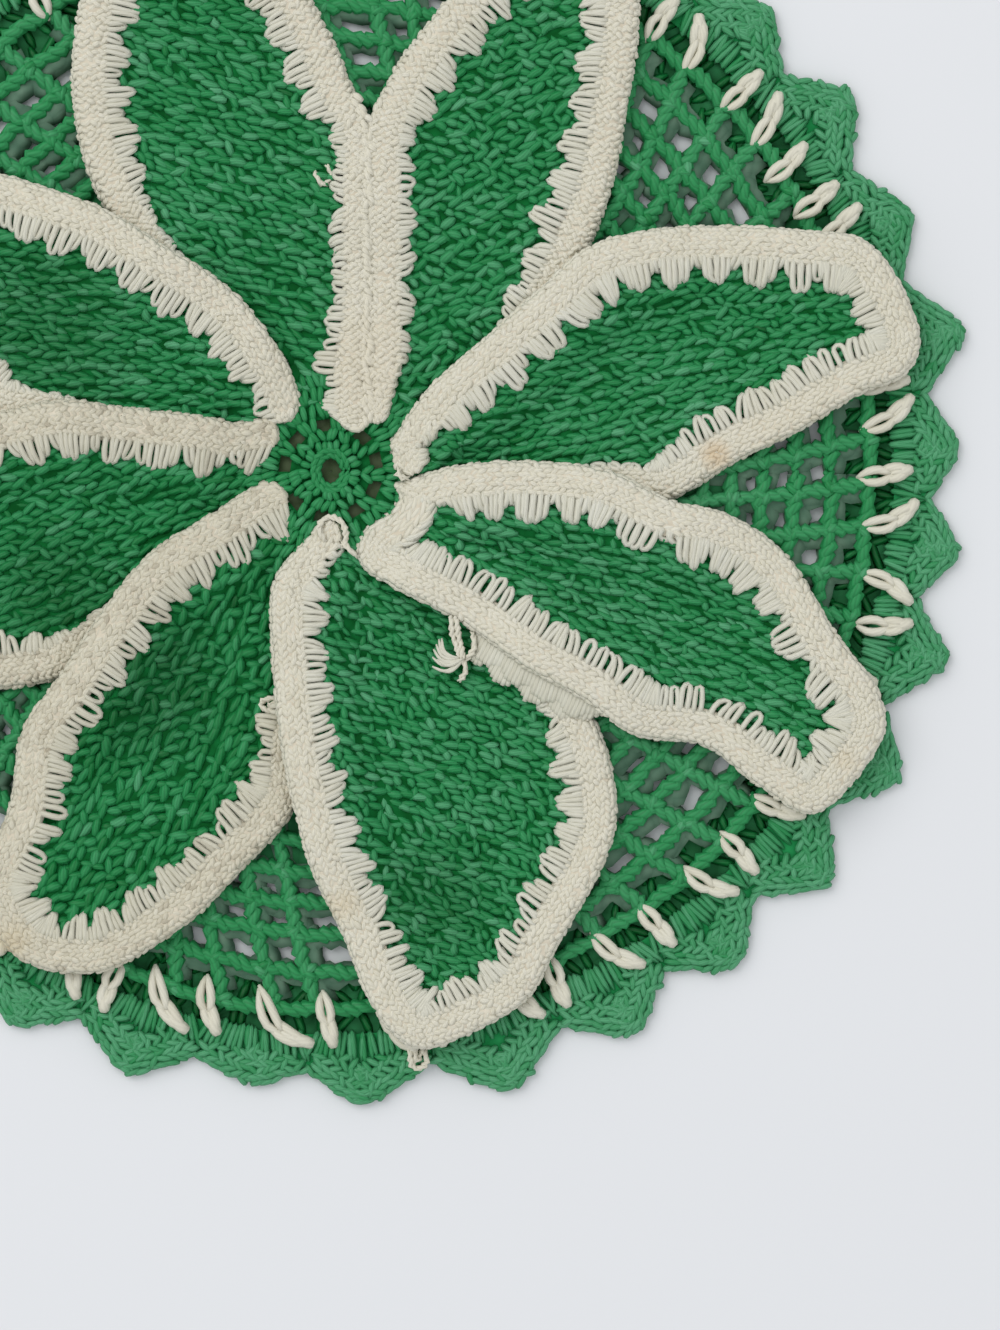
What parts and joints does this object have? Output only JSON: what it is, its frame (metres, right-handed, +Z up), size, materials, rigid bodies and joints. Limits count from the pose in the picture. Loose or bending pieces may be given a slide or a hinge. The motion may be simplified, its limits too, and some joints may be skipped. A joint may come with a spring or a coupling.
{
  "type": "crocheted lace doily",
  "caption": "Round crocheted lace doily with raised leaf-shaped petals in green, cream edgings, a net ground and a border of pointed shells.",
  "frame": {"origin": "centre of the doily, on the surface that it lies on", "axes": "+Z up out of the doily's face; +X and +Y lie in its plane, with petal 1 a little counterclockwise of +X"},
  "size_m": [0.2038, 0.2036, 0.0078],
  "materials": {
    "green_cotton": "mercerised crochet cotton, soft sheen",
    "cream_cotton": "ecru crochet cotton, matt, lightly stained"
  },
  "bodies": {
    "root": {"centre": "green_cotton", "net": "green_cotton", "cream_round": "cream_cotton", "border": "green_cotton", "petal_1": "green_cotton", "petal_2": "green_cotton", "petal_3": "green_cotton", "petal_4": "green_cotton", "petal_5": "green_cotton", "petal_6": "green_cotton", "petal_7": "green_cotton", "petal_8": "green_cotton", "edging_1": "cream_cotton", "edging_2": "cream_cotton", "edging_3": "cream_cotton", "edging_4": "cream_cotton", "edging_5": "cream_cotton", "edging_6": "cream_cotton", "edging_7": "cream_cotton", "edging_8": "cream_cotton"}
  },
  "joints": []
}
